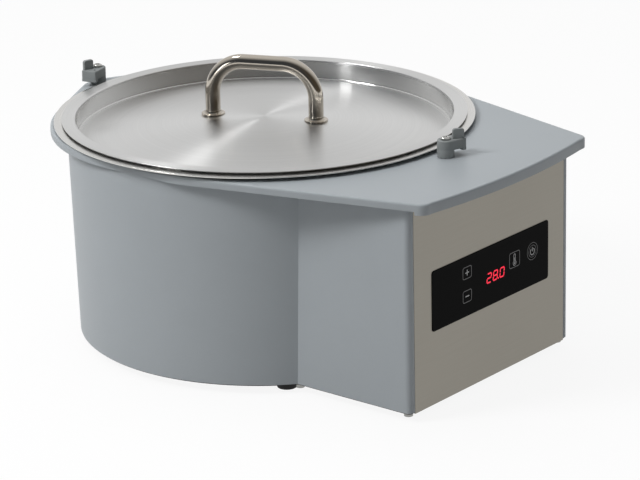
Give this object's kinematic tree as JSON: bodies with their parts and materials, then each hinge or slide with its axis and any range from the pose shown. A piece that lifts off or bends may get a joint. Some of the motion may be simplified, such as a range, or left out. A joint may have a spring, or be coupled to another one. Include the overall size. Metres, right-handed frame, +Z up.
{
  "type": "chocolate melting tank",
  "caption": "Benchtop chocolate melter: lidded steel tank hung in a heated well, round moulded housing with a box-shaped control unit, membrane keypad and turn clamps.",
  "frame": {"origin": "on the standing surface, at the middle of the outline seen from above", "axes": "+Y from the control panel towards the back, +Z up, +X to the user's right"},
  "size_m": [0.39, 0.505, 0.265],
  "materials": {
    "tank_steel": "satin stainless, spun",
    "lid_steel": "circular-brushed stainless",
    "bar_steel": "polished stainless",
    "screw_steel": "satin stainless",
    "panel_steel": "brushed stainless",
    "base_steel": "satin",
    "deck_grey": "fine grain",
    "shell_grey": "fine grain",
    "clamp_grey": "satin",
    "gasket_rubber": "matt",
    "foot_rubber": "matt",
    "membrane_film": "satin film",
    "well_aluminium": "mill",
    "heater_silicone": "matt",
    "mineral_wool": "felted",
    "board_green": "satin",
    "black_moulding": "satin",
    "terminal_grey": "satin",
    "core_iron": "varnished",
    "brass": "plain",
    "wire_sleeve": "satin"
  },
  "bodies": {
    "housing": {"base_heater": "heater_silicone", "base_plate": "base_steel", "base_screws": "screw_steel", "board_screws": "screw_steel", "board_spacers": "brass", "body_shell": "shell_grey", "cable_headers": "black_moulding", "clamp_nuts": "screw_steel", "clamp_screws": "screw_steel", "control_board": "board_green", "deck_inserts": "brass", "deck_screws": "screw_steel", "display_module": "black_moulding", "flange_gasket": "gasket_rubber", "foot_nuts": "screw_steel", "foot_screws": "screw_steel", "front_panel": "panel_steel", "heater_leads": "wire_sleeve", "heater_well": "well_aluminium", "inlet_nuts": "screw_steel", "inlet_pins": "brass", "inlet_screws": "screw_steel", "insulation_disc": "mineral_wool", "insulation_jacket": "mineral_wool", "key_switches": "black_moulding", "mains_leads": "wire_sleeve", "membrane_keypad": "membrane_film", "panel_nuts": "screw_steel", "power_board": "board_green", "power_board_screws": "screw_steel", "power_inlet": "black_moulding", "probe_block": "well_aluminium", "relays": "black_moulding", "ribbon_cable": "wire_sleeve", "rubber_feet": "foot_rubber", "sensor_leads": "wire_sleeve", "side_heater": "heater_silicone", "temperature_probe": "screw_steel", "terminal_blocks": "terminal_grey", "thermal_cutout": "black_moulding", "top_deck": "deck_grey", "transformer": "core_iron", "well_screws": "screw_steel"},
    "tank": {"tank": "tank_steel"},
    "lid": {"lid": "lid_steel", "lid_handle": "bar_steel", "handle_rosettes": "bar_steel", "handle_screws": "screw_steel"},
    "front_clamp": {"front_clamp": "clamp_grey"},
    "rear_clamp": {"rear_clamp": "clamp_grey"}
  },
  "joints": [
    {"name": "tank_lift", "type": "slide", "parent": "housing", "child": "tank", "axis": [0, 0, 1], "range_m": [0, 0.2]},
    {"name": "lid_lift", "type": "slide", "parent": "tank", "child": "lid", "axis": [0, 0, 1], "range_m": [0, 0.12]},
    {"name": "front_clamp_turn", "type": "hinge", "parent": "housing", "child": "front_clamp", "pos_m": [0, -0.17501, 0.213], "axis": [0, 0, 1], "range_deg": [-75, 105]},
    {"name": "rear_clamp_turn", "type": "hinge", "parent": "housing", "child": "rear_clamp", "pos_m": [0, 0.24199, 0.213], "axis": [0, 0, 1], "range_deg": [-103, 77]}
  ]
}
